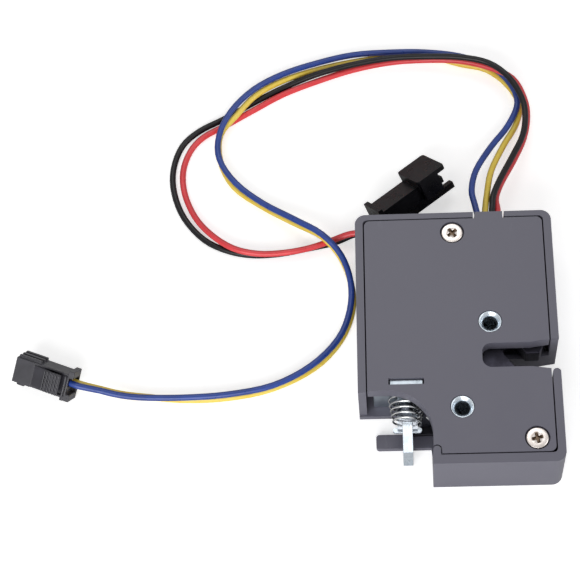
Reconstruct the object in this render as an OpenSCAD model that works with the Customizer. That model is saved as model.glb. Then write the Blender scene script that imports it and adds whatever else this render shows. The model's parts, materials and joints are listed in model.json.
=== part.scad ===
// Solenoid cabinet lock lying on its back: case and cover, rotary claw, release lever,
// pull solenoid with its hand-release strip, feedback switch and two leads with plugs.
// The origin is the bottom centre of the case, +Y points to the end where the wires leave
// and +Z points out of the cover.

/* [Case] */
// Width of the case
case_w = 60; // [58:0.5:64]
// Length of the case
case_h = 82; // [80:0.5:88]
// Depth of the case, cover included
case_d = 20; // [19:0.5:24]
// Side wall thickness
wall = 2.4; // [2:0.1:2.6]
// Thickness of the wall at the wire end
wall_top = 1.8; // [1.4:0.1:2.4]
// Thickness of the wall at the other end
wall_bottom = 2.8; // [2.2:0.1:3.2]
// Thickness of the floor
floor_t = 2.2; // [1.6:0.1:2.2]
// Corner radius of the case in plan
corner_r = 3.2; // [2.6:0.1:4.5]
// Gap between the cover and the walls around it
lid_gap = 0.4; // [0.2:0.05:0.6]
// Thickness of the cover plate
lid_t = 2; // [1.6:0.1:2.2]
// Depth of the cover's skirt below its top face
skirt_d = 4.4; // [3.6:0.1:4.6]
// Thickness of the cover's skirt
skirt_t = 1.4; // [1:0.1:1.8]

/* [Open corner] */
// Distance from the left side to the lower block
block_x = 21.6; // [21:0.1:22.4]
// Height of the step under the solenoid side
step_y = 22.3; // [22:0.1:23]
// Radius of the concave edge of the floor
arc_r = 12.8; // [12.4:0.1:13.2]
// How far the cover's edge stands back from the floor's edge
lid_back = 1; // [0.6:0.1:1.2]
// Height of the short end wall left of the lower block
stub_h = 4.5; // [4:0.1:6]
// Length of the finger tongue beside the release strip
tongue_len = 16.7; // [14:0.1:18]
// Width of the finger tongue
tongue_w = 4.5; // [3.5:0.1:5]
// Distance from the bottom end to the tongue
tongue_y = 11.8; // [11.6:0.1:12.2]

/* [Striker slot] */
// Width of the slot for the striker
slot_w = 7.8; // [7:0.1:8.4]
// Depth of the slot from the right side
slot_len = 22.9; // [21:0.1:24]
// Height of the slot's middle above the bottom end
slot_y = 33.9; // [33.5:0.1:34.3]
// Corner radius of the slot's closed end
slot_r = 2.8; // [2:0.1:3.4]
// How far each side flares at the mouth
slot_flare = 1.4; // [0.8:0.1:1.8]
// Length of the flare
flare_len = 8.5; // [6:0.1:9]

/* [Mounting sleeves] */
// Bore of the sleeves, for a screw
sleeve_bore = 4.2; // [3.8:0.1:4.4]
// Outer diameter of the sleeve tube
sleeve_od = 5.6; // [5.4:0.1:6]
// Diameter of the sleeve's rolled head
sleeve_head = 7.1; // [6.8:0.1:7.6]
// Upper sleeve, the claw's axle, from the right side
upper_x = 20.1; // [19.8:0.1:20.6]
// Upper sleeve above the slot's middle
upper_y = 11; // [10.8:0.1:11.4]
// Lower sleeve, the lever's axle, from the right side
lower_x = 29.4; // [29:0.1:29.8]
// Lower sleeve above the bottom end
lower_y = 17.7; // [17.4:0.1:18]

/* [Cover screws] */
// Diameter of the screw heads
screw_head = 6.6; // [6:0.1:7]
// Shank diameter of the screws
screw_d = 2.9; // [2.5:0.1:3.1]
// Length of the shank under the head
screw_len = 10; // [7:0.5:12]

/* [Claw] */
// Thickness of the claw
claw_t = 6; // [5:0.1:6.4]
// Height of the claw's underside
claw_z = 8.2; // [8:0.1:8.8]
// Radius of the hub round the axle
hub_r = 5.2; // [4.8:0.1:5.4]
// Width of the striker notch
notch_w = 5.3; // [4.8:0.1:5.6]
// Distance from the axle to the middle of the notch's round seat
notch_d = 9.5; // [9.2:0.1:10]
// Sideways place of the notch's middle from the axle
notch_n = 0.8; // [0.5:0.1:1]
// Direction of the notch in the open position, in degrees
notch_a = -53; // [-54:0.5:-52]
// Reach of the kicker from the axle
kicker_r = 16; // [15.4:0.1:16.4]
// Reach of the prong from the axle
prong_r = 16.8; // [16:0.1:17]
// Reach of the tail finger from the axle
finger_r = 14.6; // [14.2:0.1:14.8]
// Width of the tail finger
finger_w = 2.4; // [2:0.1:2.6]

/* [Release lever] */
// Thickness of the lever
lever_t = 1.6; // [1.2:0.1:1.8]
// Width of the lever's arms
lever_w = 3; // [2.4:0.1:3.2]
// Diameter of the lever's riveted pin
pin_d = 1.6; // [1.2:0.1:1.8]

/* [Solenoid] */
// Middle of the solenoid from the left side
sol_x = 14.4; // [14.2:0.1:14.8]
// Front face of the solenoid frame above the bottom end
sol_y = 25.3; // [25:0.1:26]
// Width of the frame
frame_w = 20; // [19:0.1:20]
// Room for the wires between the frame and the end where they leave
wire_room = 17; // [16:0.5:22]
// Thickness of the frame's steel
frame_t = 1.8; // [1.5:0.1:2]
// Diameter of the plunger
plunger_d = 6; // [5.6:0.1:6.2]
// Travel of the plunger
stroke = 2.4; // [2:0.1:2.6]
// Wire of the return spring
spring_wire = 0.6; // [0.5:0.05:0.7]
// Mean radius of the return spring at the frame
spring_r1 = 5.6; // [5:0.1:6]
// Mean radius of the return spring at the strip
spring_r0 = 4; // [3.9:0.1:4.2]
// Turns of the return spring
spring_turns = 5.5; // [4:0.5:7]

/* [Release strip] */
// Thickness of the strip
strip_t = 1; // [0.8:0.05:1.1]
// Width of the strip
strip_w = 3; // [2.6:0.1:3.2]
// Length of the T-shaped head
tee_len = 8.6; // [8.4:0.1:9]
// Width of the T-shaped head
tee_w = 1.6; // [1.4:0.1:2]
// Distance from the solenoid frame to the back of the T-shaped head
tee_y = 9.7; // [9:0.1:10]
// Distance from the back of the strip to the outer face of its foot
strip_len = 9.7; // [9:0.1:10.2]

/* [Feedback switch] */
// Length of the switch body
switch_len = 12.8; // [12:0.1:13.4]
// Height of the switch body
switch_h = 5.8; // [5:0.1:6.4]
// Width of the switch body
switch_w = 5.6; // [5:0.1:6]
// Distance from the right side to the switch body
switch_x = 3.4; // [3.2:0.1:4]

/* [Leads] */
// Diameter of the wires over their insulation
wire_d = 2; // [1.6:0.1:2]
// Height of the wires where they leave the case
exit_z = 11; // [10.8:0.1:11.2]
// Width of the opening for the wires
exit_w = 9.5; // [9:0.1:10]
// Left edge of the opening from the right side
exit_x = 23.7; // [23:0.1:24]

/* [Plugs] */
// Length of the sensor plug
plug_len = 19; // [17:0.1:21]
// Width of the sensor plug
plug_w = 8; // [7.4:0.1:9]
// Thickness of the sensor plug
plug_t = 6.8; // [6.4:0.1:8]
// Length of the power socket's body
socket_len = 22.6; // [21:0.1:24]
// Width of the power socket
socket_w = 8.6; // [8:0.1:10]
// Thickness of the power socket
socket_t = 8; // [7.6:0.1:9]
// Width of the hood over the socket's mouth
hood_w = 13; // [12:0.1:14]
// Length of the hood
hood_len = 10.6; // [9:0.1:12]
// Height of the hood over the socket's body
hood_h = 2.4; // [2:0.1:3]
// Distance between the two ways of a plug
pitch = 2.5; // [2.45:0.05:2.6]
// Place of the ways across the plug
way_y = -0.6; // [-0.8:0.1:0]

/* [Hidden] */
$fn = 64;
// Where each plug lies: its rear end, its heading and its roll
plug_place = [-116.3, -5.7, 3.1];
plug_heading = 158.4;
plug_roll = -38;
socket_place = [-21.6, 44.4, 2.6];
socket_heading = 37.8;
socket_roll = -36.6;
// Routes of the free wires, from the case to their plugs
blue_route = [
    [8.3, 41, 11], [8.3, 43.8, 10.9], [7.5, 48.8, 10.3], [6.8, 54.4, 9.6], [8.6, 62.4, 8],
    [13.8, 71.9, 5.8], [19.8, 80.7, 4.1], [23.3, 89.7, 3.3], [21, 97.5, 3.3], [15.2, 104, 3.1],
    [5.3, 108.4, 3], [-6.1, 110.2, 3.3], [-17.6, 110.7, 3.2], [-30, 110.3, 3], [-42.1, 107.5, 3.1],
    [-53.5, 103.2, 3.7], [-62.9, 97.2, 4.5], [-70.1, 88.9, 5.1], [-74, 80.3, 4.4], [-73.9, 71.9, 3.3],
    [-68.4, 62.8, 3.3], [-59.6, 55, 3.7], [-49.3, 47.7, 5.8], [-40.7, 41.2, 7.7], [-34.8, 34.7, 5.6],
    [-32, 26.4, 3.3], [-32.4, 16.5, 3.2], [-36.2, 6.8, 3.2], [-44.6, -1.9, 3.3], [-56.3, -8.1, 3.3],
    [-70, -10.7, 3.3], [-83.3, -11.4, 3.3], [-95.6, -11.1, 3.3], [-103.2, -10.5, 4.3], [-109.5, -9.2, 5.4],
    [-115.4, -8.2, 6.6], [-118.4, -7, 6.6]];
yellow_route = [
    [10.4, 41, 11], [10.4, 43.6, 10.8], [10.8, 47.8, 10], [11.5, 52.5, 9.3], [13.3, 62, 7.4],
    [17.8, 72.7, 4.7], [22.4, 81.8, 2.4], [24, 90, 1.25], [20.6, 97.7, 1.2], [14, 103.9, 1.2],
    [5.3, 106.5, 1.2], [-6.1, 110.2, 1.2], [-17.7, 110.2, 1.2], [-30, 108.7, 1.2], [-42.1, 106.1, 1.2],
    [-53.5, 101.8, 1.9], [-62.3, 95.7, 3.1], [-68.6, 88.1, 3.4], [-73.7, 81.7, 2.3], [-73.9, 72.9, 1.2],
    [-69.3, 62.7, 1.2], [-60.1, 55.2, 1.2], [-49.7, 47.7, 3.4], [-40.7, 41.4, 5.5], [-35, 35, 3.2],
    [-31.9, 26.7, 1.2], [-31.7, 17, 1.2], [-35.7, 6.8, 1.2], [-43.8, -1.9, 1.2], [-56.5, -8.3, 1.2],
    [-70.2, -11, 1.2], [-83.5, -11.3, 1.2], [-96, -9.9, 1.2], [-103.4, -9.2, 2.4], [-109.8, -7.8, 3.5],
    [-114.8, -6.8, 4.7], [-117.9, -5.6, 4.7]];
black_route = [
    [12.5, 41, 11], [12.5, 43.6, 10.9], [12.9, 47.6, 10.4], [13.5, 51.9, 10.4], [15.9, 58, 9.4],
    [20.2, 66.8, 7.9], [24.1, 75.4, 6.6], [25.4, 83.3, 5.7], [24.6, 89.7, 6.2], [20.8, 96.9, 7.3],
    [14.4, 102.7, 7.3], [5.2, 105.4, 7.1], [-6.2, 107, 5.7], [-17.7, 107.1, 5.3], [-30, 105.6, 4.5],
    [-41.9, 103.1, 3.3], [-53.2, 99.5, 1.3], [-62.9, 94.3, 1.1], [-72.9, 88.3, 1.1], [-80.8, 84, 1.1],
    [-86.4, 78.4, 1.1], [-89.1, 69.8, 1.1], [-88.6, 61, 1.1], [-85.1, 51.7, 1.1], [-78.6, 43.8, 1.1],
    [-71, 39.6, 1.1], [-63.2, 37.8, 1.1], [-54.3, 38, 1.1], [-45.5, 39.6, 1.1], [-37.4, 41.3, 1.1],
    [-31.6, 43.2, 2.2], [-28.3, 43.9, 3], [-24.9, 45.1, 3.9], [-22, 47.3, 3.9]];
red_route = [
    [14.6, 41, 11], [14.5, 43.6, 10.4], [14.6, 47.6, 9.2], [14.4, 52.3, 7.7], [16.6, 58.5, 6.7],
    [20.9, 67.1, 5.1], [24.6, 75.8, 3.8], [26.2, 84.3, 3.2], [25.5, 90.6, 4.3], [22.1, 97.5, 5.5],
    [14.9, 102.3, 5], [5.3, 105.6, 4.5], [-6.2, 107.2, 3.2], [-17.8, 106.9, 2.9], [-30.1, 105, 2.1],
    [-42, 101.5, 1.4], [-53.4, 97, 1.1], [-63.1, 91.3, 1.1], [-71.6, 86.2, 1.1], [-79.5, 81.6, 1.1],
    [-83.8, 76.2, 1.1], [-85.9, 68.9, 1.1], [-85.2, 60.8, 1.1], [-81.7, 52, 1.6], [-76.4, 45, 2.6],
    [-69.2, 39.4, 3.4], [-61.2, 37.2, 3.3], [-52.6, 37.4, 3.1], [-44.7, 38.8, 3.1], [-37.8, 41.2, 3.1],
    [-32.6, 42.6, 4.2], [-28.3, 42.8, 5], [-23.7, 43.5, 5.4], [-20.7, 45.8, 5.4]];
ways = [1.5, 1.5 + pitch];
in_case_offset = [-case_w / 2, -case_h / 2, 0];
slot_x = case_w - slot_len;
upper = [case_w - upper_x, slot_y + upper_y];
lower = [case_w - lower_x, lower_y];
lid_z = case_d - lid_t;
skirt_z = case_d - skirt_d;
edge_x = block_x - arc_r;
lid_arc_r = arc_r + 0.2;
stub_t = 2.2;
stub_r = stub_t / 2;
rib_t = 1.4;
rib_z = claw_z - 0.7;
wall_gap_low = slot_y - 5.9;
wall_gap_high = slot_y + 4.9;
screw_a = [case_w / 2 - 0.3, case_h - 6.8];
screw_b = [case_w - 8.1, 7.5];
post_r = 3.4;
post_gap = 1;
pocket_d = 1.8;
head_t = 1.5;
run = 0.03;
slip = 0.05;
claw_top = claw_z + claw_t;
lever_z = floor_t + 0.3;
exit_left = case_w - exit_x;
tab_gap = 0.5;
sol_bottom = floor_t + 0.1;
sol_z = case_d / 2;
frame_len = case_h - wire_room - sol_y;
frame_d = case_d - lid_t - 3.8;
winding_d = frame_d - 1;
flange_t = 1.4;
tee_back = sol_y - tee_y;
strip_back = tee_back + strip_t;
strip_top = sol_z + 1.6;
strip_low = sol_z - 0.6 - strip_t;
strip_front = strip_back - strip_len;
contact_y = tee_back - tee_w + strip_t;
rest_gap = 0.3;
pin_gap = 0.5;
pin_tenon = 1.1;
tongue_low_z = sol_z - 0.5;
core_y = sol_y + frame_len - frame_t - 14;
plunger_back = core_y - stroke - 0.6;
switch_x0 = case_w - switch_x - switch_h - 3.4;
switch_y0 = upper[1] + 5.6;
switch_z = claw_z + 0.2;
leaf_t = 0.4;
leaf_x = switch_x0 - 2.1;
hinge = [leaf_x + leaf_t, switch_y0 + switch_len - 1.3];
lead_z = exit_z;
wires_x = [for (i = [0:3]) exit_left + 2 + i * 2.1];
pin_at = [upper[0] - finger_r + finger_w + pin_gap + pin_d / 2, upper[1] - 0.7];
function polar(r, a) = [r * cos(a), r * sin(a)];

module in_case() { translate(in_case_offset) children(); }

module rounded(x0, y0, x1, y1, r) {
    translate([x0, y0 + r]) square([x1 - x0, y1 - y0 - 2 * r]);
    translate([x0 + r, y0]) square([x1 - x0 - 2 * r, y1 - y0]);
    for (x = [x0 + r, x1 - r], y = [y0 + r, y1 - r]) translate([x, y]) circle(r);
}

module wedge(a0, a1, r = 40) {
    mid = (a0 + a1) / 2;
    polygon([[0, 0], polar(r, a0), polar(r * 1.2, mid), polar(r, a1)]);
}

module sector(r, a0, a1) {
    intersection() {
        circle(r);
        wedge(a0, a1);
    }
}

module ring_sector(r0, r1, a0, a1) {
    difference() {
        sector(r1, a0, a1);
        circle(r0);
    }
}

module case_outline() { rounded(0, 0, case_w, case_h, corner_r); }

// Everything outside the concave edge at the solenoid end
module open_corner(r, top) {
    translate([-1, -1]) square([edge_x + 1, top + 1]);
    translate([edge_x, top - r]) circle(r);
    translate([-1, -1]) square([edge_x + r + 1, top - r + 1]);
}

module slot_2d(grow) {
    y0 = slot_y - slot_w / 2 - grow;
    y1 = slot_y + slot_w / 2 + grow;
    flare_x = case_w - flare_len;
    rounded(slot_x - grow, y0, flare_x + slot_r + grow, y1, slot_r + grow);
    polygon([[flare_x, y0], [case_w + 1, y0 - slot_flare], [case_w + 1, y1 + slot_flare], [flare_x, y1]]);
}

module stub_2d(grow) {
    translate([block_x - grow, 0]) square([stub_t + 2 * grow, stub_h]);
    translate([block_x + stub_r, stub_h]) circle(stub_r + grow);
}

module walls_2d() {
    difference() {
        case_outline();
        rounded(wall, wall_bottom, case_w - wall, case_h - wall_top, corner_r - wall + 0.6);
        translate([-1, -1]) square([block_x + 1, step_y + 1.5]);
        translate([case_w - wall - 1, wall_gap_low]) square([wall + 2, wall_gap_high - wall_gap_low]);
    }
    translate([case_w - wall / 2, wall_gap_low]) circle(wall / 2);
    stub_2d(0);
}

module tongue_2d() {
    x0 = block_x - tongue_len;
    rounded(x0, tongue_y, x0 + 5, tongue_y + tongue_w, 1);
    translate([x0 + 3, tongue_y]) square([tongue_len + 3, tongue_w]);
}

// Case half that carries everything
module base_shell() {
    color("#6B6A73") in_case() difference() {
        union() {
            linear_extrude(floor_t) difference() {
                case_outline();
                open_corner(arc_r, step_y);
            }
            linear_extrude(floor_t) tongue_2d();
            linear_extrude(case_d) walls_2d();
            linear_extrude(rib_z) intersection() {
                slot_2d(rib_t);
                case_outline();
            }
            for (p = [screw_a, screw_b]) translate(p) cylinder(r = post_r, h = lid_z - post_gap);
            translate(upper) cylinder(d = sleeve_od + 1.8, h = claw_z - 0.2);
            translate(lower) cylinder(d = sleeve_od + 3, h = lever_z - 0.1);
            translate([switch_x0, switch_y0, 0]) cube([switch_h, switch_len, switch_z]);
            for (y = [sol_y + 6, sol_y + frame_len - 8])
                translate([sol_x + frame_w / 2 + 0.1, y, 0]) cube([rib_t, 4, sol_z]);
        }
        translate([0, 0, -1]) linear_extrude(case_d) slot_2d(0);
        translate([exit_left, case_h - wall_top - 2, exit_z - wire_d / 2])
            cube([exit_w, wall_top + 3, case_d]);
        for (p = [upper, lower]) translate([p[0], p[1], -1]) cylinder(d = sleeve_od + 2 * slip, h =
            case_d);
        for (p = [screw_a, screw_b])
            translate([p[0], p[1], lid_z - post_gap - screw_len]) cylinder(d = screw_d + 2 * slip, h =
                case_d);
    }
}

module lid_2d() {
    difference() {
        rounded(wall + lid_gap, wall_bottom + lid_gap, case_w - wall - lid_gap,
            case_h - wall_top - lid_gap, corner_r - wall + 1);
        open_corner(lid_arc_r, step_y + lid_back);
        slot_2d(0);
        stub_2d(lid_gap);
        translate([0, -1]) square([block_x + stub_t + lid_gap, stub_h + 1]);
    }
}

module lid_skirt_2d() {
    intersection() {
        lid_2d();
        union() {
            open_corner(lid_arc_r + skirt_t, step_y + lid_back + skirt_t);
            slot_2d(skirt_t);
        }
    }
}

// Cover set in flush between the walls, with its skirts, bosses and screw pockets
module cover_plate() {
    color("#6B6A73") in_case() difference() {
        union() {
            translate([0, 0, lid_z]) linear_extrude(lid_t) lid_2d();
            translate([0, 0, skirt_z]) linear_extrude(skirt_d - lid_t / 2) lid_skirt_2d();
            translate([exit_left + tab_gap, case_h - wall_top, exit_z + wire_d / 2 + 0.2])
                cube([exit_w - 2 * tab_gap, wall_top, case_d - exit_z - wire_d / 2 - 0.2]);
            translate([exit_left + tab_gap, case_h - wall_top - 2, lid_z])
                cube([exit_w - 2 * tab_gap, 3, lid_t]);
            for (p = [screw_a, screw_b])
                translate([p[0], p[1], lid_z - post_gap]) cylinder(r = post_r + 1.2, h = post_gap +
                    lid_t / 2);
            translate([upper[0], upper[1], claw_top + 0.3])
                cylinder(d = sleeve_od + 3, h = lid_z + lid_t / 2 - claw_top - 0.3);
            translate([lower[0], lower[1], lever_z + lever_t + 5])
                cylinder(d = sleeve_od + 2.6, h = lid_z - lever_z - lever_t - 5 + lid_t / 2);
        }
        translate([sol_x - 5.3, sol_y - 0.1, lid_z - 1]) cube([10.5, frame_t + 0.2, lid_t + 2]);
        for (p = [screw_a, screw_b]) translate([p[0], p[1], 0]) {
            cylinder(d = screw_d + 0.3, h = case_d + 1);
            translate([0, 0, case_d - pocket_d]) cylinder(d = screw_head + 0.8, h = pocket_d + 1);
        }
        for (p = [upper, lower]) translate([p[0], p[1], 0]) {
            cylinder(d = sleeve_od + 2 * slip, h = case_d + 1);
            translate([0, 0, case_d - 1.1]) cylinder(d = sleeve_head + 2 * slip, h = 3);
        }
    }
}

module screw(p) {
    z0 = case_d - pocket_d;
    color("#E6DEDA") in_case() translate([p[0], p[1], z0]) difference() {
        union() {
            rotate_extrude() polygon([[0, 0], [screw_head / 2, 0], [screw_head / 2, head_t - 0.5],
                [screw_head / 2 - 0.4, head_t - 0.1], [screw_head / 2 - 1.2, head_t], [0, head_t]]);
            translate([0, 0, 1 - screw_len]) cylinder(d = screw_d, h = screw_len - 0.5);
        }
        for (a = [20, 110]) rotate(a) translate([-1.9, -0.4, head_t - 1]) cube([3.8, 0.8, 2]);
    }
}

module cover_screw_top() { screw(screw_a); }
module cover_screw_bottom() { screw(screw_b); }

// Eyelet through base and cover, with a rolled conical mouth
module sleeve(p) {
    r0 = sleeve_bore / 2;
    r1 = sleeve_od / 2;
    r2 = sleeve_head / 2;
    mouth = r2 - 0.5;
    top = case_d - 0.1;
    color("#DDE8F0") in_case() translate(p) rotate_extrude()
        polygon([[r0, 0], [r1, 0], [r1, case_d - 1.1], [r2, case_d - 1.1], [r2, top - 0.25],
            [r2 - 0.25, top], [mouth, top], [r0, top - mouth + r0]]);
}

module mounting_sleeve_upper() { sleeve(upper); }
module mounting_sleeve_lower() { sleeve(lower); }

module claw_2d() {
    difference() {
        union() {
            circle(hub_r);
            sector(notch_d + notch_w / 2 + 0.4, -105, -8);
            sector(kicker_r, -105, notch_a);
            difference() {
                sector(prong_r, -40, -8);
                translate([0, -40 - hub_r - 3.1]) square([40, 40]);
            }
            sector(finger_r, 158, 170);
            ring_sector(finger_r - finger_w, finger_r, 158, 210);
            translate(polar(hub_r + 0.3, 92)) circle(3.4);
        }
        rotate(notch_a) translate([notch_d, notch_n]) {
            circle(d = notch_w);
            translate([0, -notch_w / 2]) square([30, notch_w]);
        }
        circle(d = sleeve_od + 2 * run);
    }
}

// Rotary claw in its open position
module latch_claw() {
    color("#3A3942") in_case() translate([upper[0], upper[1], claw_z]) linear_extrude(claw_t) claw_2d();
}

function unit(v) = v / norm(v);
function side_of(t) = abs(t[2]) > 0.9 ? unit(cross(t, [1, 0, 0])) : unit(cross([0, 0, 1], t));
function tangent(p, i) = unit(p[min(i + 1, len(p) - 1)] - p[max(i - 1, 0)]);
function tube_ring(c, t, r, n) =
    let (u = side_of(t), v = cross(t, u))
        [for (k = [0:n - 1]) c + r * (cos(360 * k / n) * u + sin(360 * k / n) * v)];

// Closed tube swept along the points
module tube(points, d, sides) {
    rings = len(points);
    r = d / 2;
    shell = [for (i = [0:rings - 1]) each tube_ring(points[i], tangent(points, i), r, sides)];
    quads = [for (i = [0:rings - 2], k = [0:sides - 1])
        [i * sides + k, i * sides + (k + 1) % sides, (i + 1) * sides + (k + 1) % sides, (i + 1) * sides
            + k]];
    ends = [[for (k = [sides - 1:-1:0]) k], [for (k = [0:sides - 1]) (rings - 1) * sides + k]];
    polyhedron(shell, concat(quads, ends), convexity = 8);
}

function helix(r0, r1, h, turns, steps, a0 = 0) =
    [for (i = [0:steps]) let (f = i / steps, r = r0 + (r1 - r0) * f, a = a0 + 360 * turns * f)
        [r * cos(a), r * sin(a), h * f]];

// Ejecting spring round the upper sleeve, under the claw
module claw_spring() {
    w = 0.8;
    r = sleeve_od / 2 + 2;
    z0 = floor_t + w / 2 + 0.1;
    h = claw_z - 1.2 - z0 - w / 2;
    coil = helix(r, r, h, 4.5, 72, 180);
    leg0 = [[-r, 9, 0], [-r, 5, 0]];
    leg1 = [[r, 5, h], [r, 9.5, h]];
    color("#B9BCC0") in_case() translate([upper[0], upper[1], z0]) tube(concat(leg0, coil, leg1), w, 8);
}

// Flat release lever: one arm under the release strip, one arm with the prop for the claw's tail
module release_lever() {
    arm_y = contact_y + rest_gap;
    hub = lever_w / 2 + 0.6;
    eye = pin_d / 2 + 0.5;
    color("#2E2D33") in_case() translate([0, 0, lever_z]) linear_extrude(lever_t) difference() {
        union() {
            translate(lower) circle(sleeve_od / 2 + 2.4);
            polygon([[sol_x - 1, arm_y], [sol_x + 3, arm_y], lower + [0, -hub], lower + [0, hub],
                [sol_x + 3, arm_y + lever_w - 0.6], [sol_x - 1, arm_y + lever_w - 0.6]]);
            polygon([lower + [-hub, 0], lower + [hub, 0], pin_at + [eye, 0], pin_at + [-eye, 0]]);
            translate(pin_at) circle(eye);
        }
        translate(lower) circle(d = sleeve_od + 2 * run);
        translate(pin_at) circle(d = pin_tenon);
    }
}

// Pin riveted into the lever, that props the claw's tail finger
module lever_pin() {
    top = claw_z + 4;
    color("#9DA1A8") in_case() translate([pin_at[0], pin_at[1], lever_z]) {
        cylinder(d = pin_tenon - 2 * slip, h = lever_t + 0.5);
        translate([0, 0, lever_t]) cylinder(d = pin_d, h = top - lever_z - lever_t);
    }
}

// Torsion spring of the lever, round the lower sleeve
module lever_spring() {
    w = 0.7;
    r = sleeve_od / 2 + 1;
    z0 = lever_z + lever_t + w / 2 + 0.2;
    h = 3.4;
    coil = helix(r, r, h, 3.5, 56, 90);
    leg0 = [[9, r, 0], [5, r, 0]];
    leg1 = [[-5, -r + 0.4, h], [-10.5, 1.5, h + 0.4]];
    color("#B9BCC0") in_case() translate([lower[0], lower[1], z0]) tube(concat(leg0, coil, leg1), w, 8);
}

// Open box frame of the solenoid, with the plate's tongue standing in the cover's slit
module solenoid_frame() {
    x0 = sol_x - frame_w / 2;
    top = sol_bottom + frame_d;
    color("#C9D0D6") in_case() difference() {
        union() {
            translate([x0, sol_y, sol_bottom]) cube([frame_w, frame_len, frame_d]);
            translate([sol_x - 5, sol_y, top - 1]) cube([9.9, frame_t, case_d - 1.1 - top + 1]);
        }
        translate([x0 + frame_t, sol_y + frame_t, sol_bottom - 1])
            cube([frame_w - 2 * frame_t, frame_len - 2 * frame_t, frame_d + 2]);
        translate([sol_x, sol_y - 1, sol_z]) rotate([-90, 0, 0]) cylinder(d = plunger_d + 0.8, h =
            frame_t + 2);
        translate([sol_x, sol_y + frame_len - frame_t - 1, sol_z]) rotate([-90, 0, 0])
            cylinder(d = 4 + 2 * slip, h = frame_t + 2);
        translate([x0 + frame_w - 7, sol_y + frame_len - frame_t - 1, top - 2.6]) cube([4.4, frame_t +
            2, 4]);
    }
}

module along_y(y) { translate([sol_x, y, sol_z]) rotate([-90, 0, 0]) children(); }

// Plastic spool of the coil
module coil_bobbin() {
    color("#E8E4DA") in_case() difference() {
        union() {
            along_y(sol_y + frame_t) cylinder(d = plunger_d + 2.4, h = frame_len - 2 * frame_t);
            for (y = [sol_y + frame_t, sol_y + frame_len - frame_t - flange_t])
                translate([sol_x - frame_w / 2 + frame_t + 0.2, y, sol_bottom + 0.2])
                    cube([frame_w - 2 * frame_t - 0.4, flange_t, frame_d - 0.4]);
        }
        along_y(sol_y) cylinder(d = plunger_d + 0.5, h = frame_len);
    }
}

// Copper winding under its tape
module coil_winding() {
    y0 = sol_y + frame_t + flange_t;
    y1 = sol_y + frame_len - frame_t - flange_t;
    color("#8A3B22") in_case() along_y(y0) difference() {
        cylinder(d = winding_d, h = y1 - y0);
        translate([0, 0, -1]) cylinder(d = plunger_d + 2.4, h = y1 - y0 + 2);
    }
}

// Fixed core riveted into the back of the frame
module fixed_core() {
    back = sol_y + frame_len;
    color("#9AA0A6") in_case() {
        along_y(core_y) cylinder(d = plunger_d + 0.4, h = back - frame_t - core_y);
        along_y(back - frame_t - 0.5) cylinder(d = 4, h = frame_t + 1);
    }
}

// Plunger with a flat tongue and an eye at its outer end
module plunger() {
    shoulder = tee_back + 3.2;
    tip = tee_back - tee_w + 0.7;
    color("#55585E") in_case() {
        along_y(shoulder) cylinder(d = plunger_d, h = plunger_back - shoulder);
        difference() {
            translate([sol_x - plunger_d / 2, tip, tongue_low_z]) cube([plunger_d, shoulder - tip +
                0.6, 1]);
            translate([sol_x - strip_w / 2 - 0.1, strip_back - strip_t - 0.1, sol_z - 3])
                cube([strip_w + 0.2, strip_t + 0.2, 6]);
        }
    }
}

// Conical return spring between the strip's head and the frame
module plunger_spring() {
    y0 = tee_back + spring_wire / 2 + 0.02;
    y1 = sol_y - spring_wire / 2 - 0.02;
    coil = helix(spring_r0, spring_r1, y1 - y0, spring_turns, 99, 150);
    color("#C8CCD0") in_case() along_y(y0) tube(coil, spring_wire, 8);
}

// Hand-release strip folded through the plunger's eye, with its T-shaped head, drive tab and foot
module release_strip() {
    x0 = sol_x - strip_w / 2;
    foot_z = 0.3;
    color("#DDE8F0") in_case() {
        translate([x0, strip_front, strip_top - strip_t]) cube([strip_w, strip_len, strip_t]);
        translate([x0, strip_back - strip_t, strip_low]) cube([strip_w, strip_t, strip_top - strip_low]);
        translate([x0, tee_back - tee_w, strip_low]) cube([strip_w, tee_w + 0.5, strip_t]);
        translate([0, 0, strip_low]) linear_extrude(strip_t)
            rounded(sol_x - tee_len / 2, tee_back - tee_w, sol_x + tee_len / 2, tee_back, tee_w / 2 -
                0.01);
        translate([x0, contact_y - strip_t, lever_z + 0.5]) cube([strip_w, strip_t, strip_low - lever_z]);
        translate([x0, strip_front, foot_z]) cube([strip_w, strip_t, strip_top - foot_z]);
    }
}

// Snap-action switch that reports the claw's position
module switch_body() {
    color("#26262A") in_case() difference() {
        translate([switch_x0, switch_y0, switch_z]) cube([switch_h, switch_len, switch_w]);
        translate([switch_x0 - 1, hinge[1] - 5, switch_z + 1.6]) cube([3.4, 2.2, 2.4]);
        for (y = [2.2, switch_len - 2.2])
            translate([switch_x0 + switch_h / 2 + 1.4, switch_y0 + y, 0]) cylinder(d = 2, h = case_d);
    }
}

module switch_button() {
    color("#B03A30") in_case()
        translate([leaf_x + leaf_t + 0.15, hinge[1] - 4.9, switch_z + 1.7]) cube([3.2, 2, 2.2]);
}

module switch_leaf() {
    color("#C9CDD2") in_case() {
        translate([leaf_x, hinge[1] - 13.2, switch_z + 0.6]) cube([leaf_t, 13.2, 4.4]);
        translate([hinge[0] + 0.1, hinge[1], switch_z + 0.6]) cylinder(r = 0.5, h = 4.4);
    }
}

module switch_terminals() {
    color("#C9A24A") in_case() for (y = [2, 6.4, 10.8])
        translate([switch_x0 + switch_h, switch_y0 + y - 0.8, switch_z + 2.3]) cube([2.6, 1.6, 0.5]);
}

// Inside runs of the leads, up to the face where they leave the case
module inner_lead(start, index) {
    x = wires_x[index];
    end = [[x, case_h - 4, exit_z], [x, case_h - 2, exit_z], [x, case_h - 0.15, exit_z]];
    in_case() tube(smooth(concat(start, end)), wire_d, 8);
}

module at_plug() {
    translate(plug_place) rotate([0, 0, plug_heading]) rotate([plug_roll, 0, 0]) children();
}

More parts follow.
